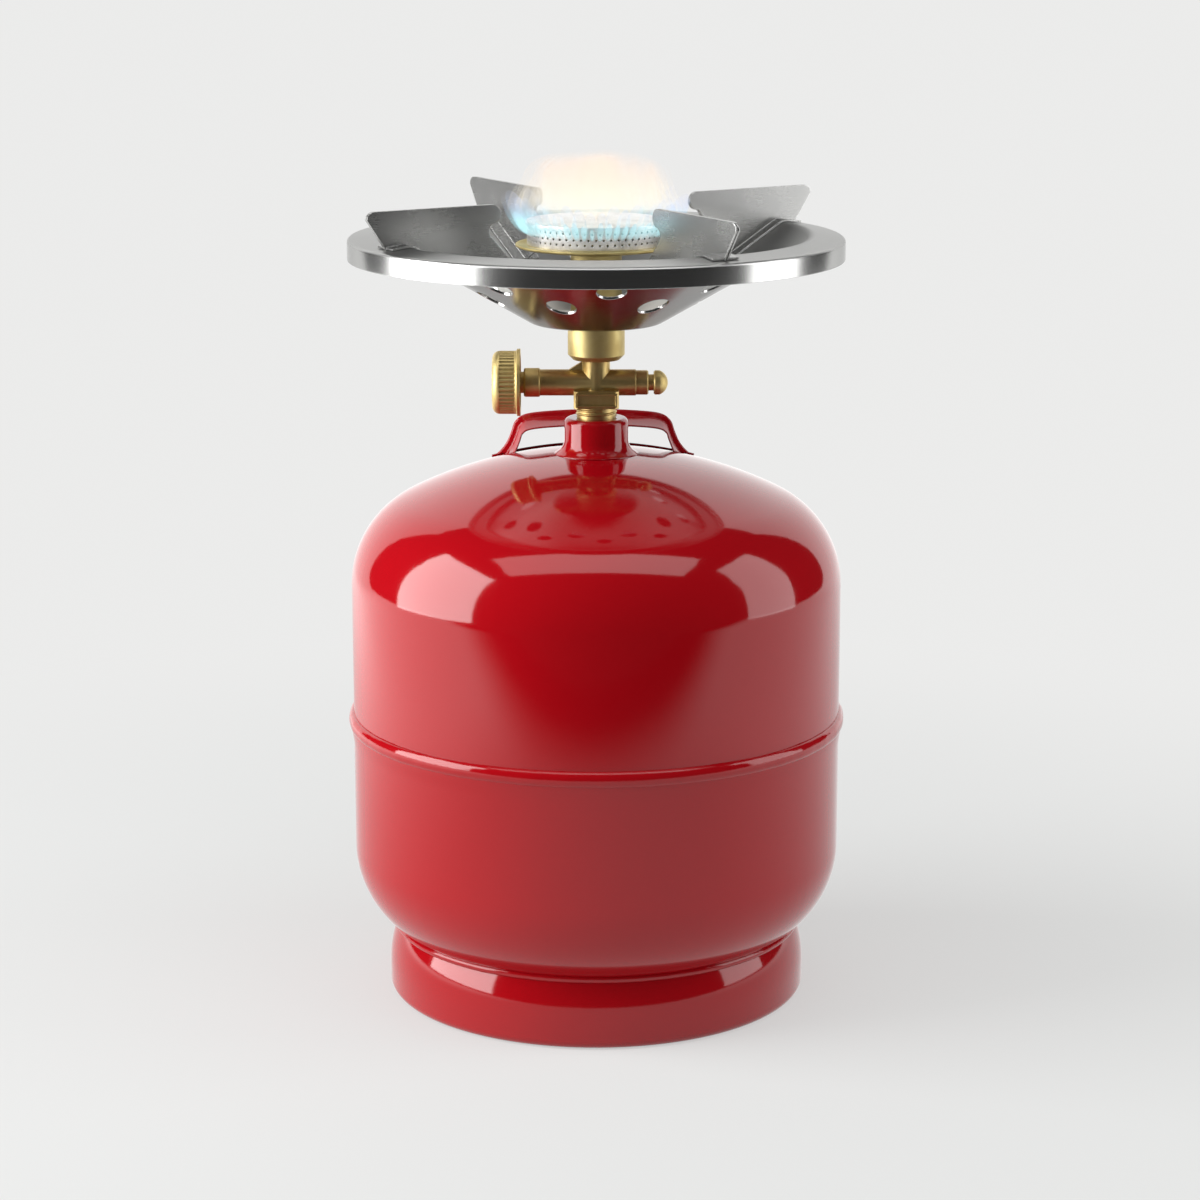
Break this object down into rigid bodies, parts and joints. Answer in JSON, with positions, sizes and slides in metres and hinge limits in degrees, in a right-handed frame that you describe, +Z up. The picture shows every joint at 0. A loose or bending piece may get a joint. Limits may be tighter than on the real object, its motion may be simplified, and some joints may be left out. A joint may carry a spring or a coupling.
{
  "type": "portable gas camp stove on a refillable bottle",
  "caption": "Domed steel gas bottle with a carrying handle, a screw tap on its neck and a vented steel dish burner with radial pot supports above it.",
  "frame": {"origin": "centre of the foot ring's base on the floor", "axes": "+Z up along the bottle's axis, +X along the tap's axis towards the closed branch, the knob on -X, the carrying handle on +Y"},
  "size_m": [0.2028, 0.2028, 0.3281],
  "materials": {
    "red_paint": "glossy deep red enamel",
    "brass": "turned, lightly tarnished",
    "polished_steel": "polished stainless sheet",
    "steel": "plain bright steel",
    "seal_rubber": "matt black"
  },
  "bodies": {
    "stove": {"upper_shell": "red_paint", "lower_shell": "red_paint", "foot_ring": "red_paint", "neck_boss": "red_paint", "carry_handle": "red_paint", "check_valve_body": "brass", "check_ball": "steel", "check_spring": "steel", "valve_body": "brass", "inlet_seal": "seal_rubber", "opening_pin": "brass", "gland_nut": "brass", "side_plug": "brass", "jet": "brass", "mixer_cup": "brass", "dish": "polished_steel", "dish_washer": "steel", "mixer_tube": "brass", "burner_pan": "brass", "flame_ring": "brass", "burner_cap": "brass", "pot_support_right": "polished_steel", "pot_support_rear": "polished_steel", "pot_support_left": "polished_steel", "pot_support_front": "polished_steel"},
    "stem_seal": {"stem_o_ring": "seal_rubber"},
    "control": {"spindle": "brass", "control_knob": "brass", "knob_screw": "steel"}
  },
  "joints": [
    {"name": "spindle_travel", "type": "slide", "parent": "stove", "child": "stem_seal", "axis": [1, 0, 0], "range_m": [0, 0.00112]},
    {"name": "knob_turn", "type": "hinge", "parent": "stem_seal", "child": "control", "pos_m": [-0.036, 0, 0.25363], "axis": [1, 0, 0], "range_deg": [0, 540]}
  ],
  "couplings": [
    {"joint": "knob_turn", "follows": "spindle_travel", "rad_per_m": 8377.6}
  ]
}
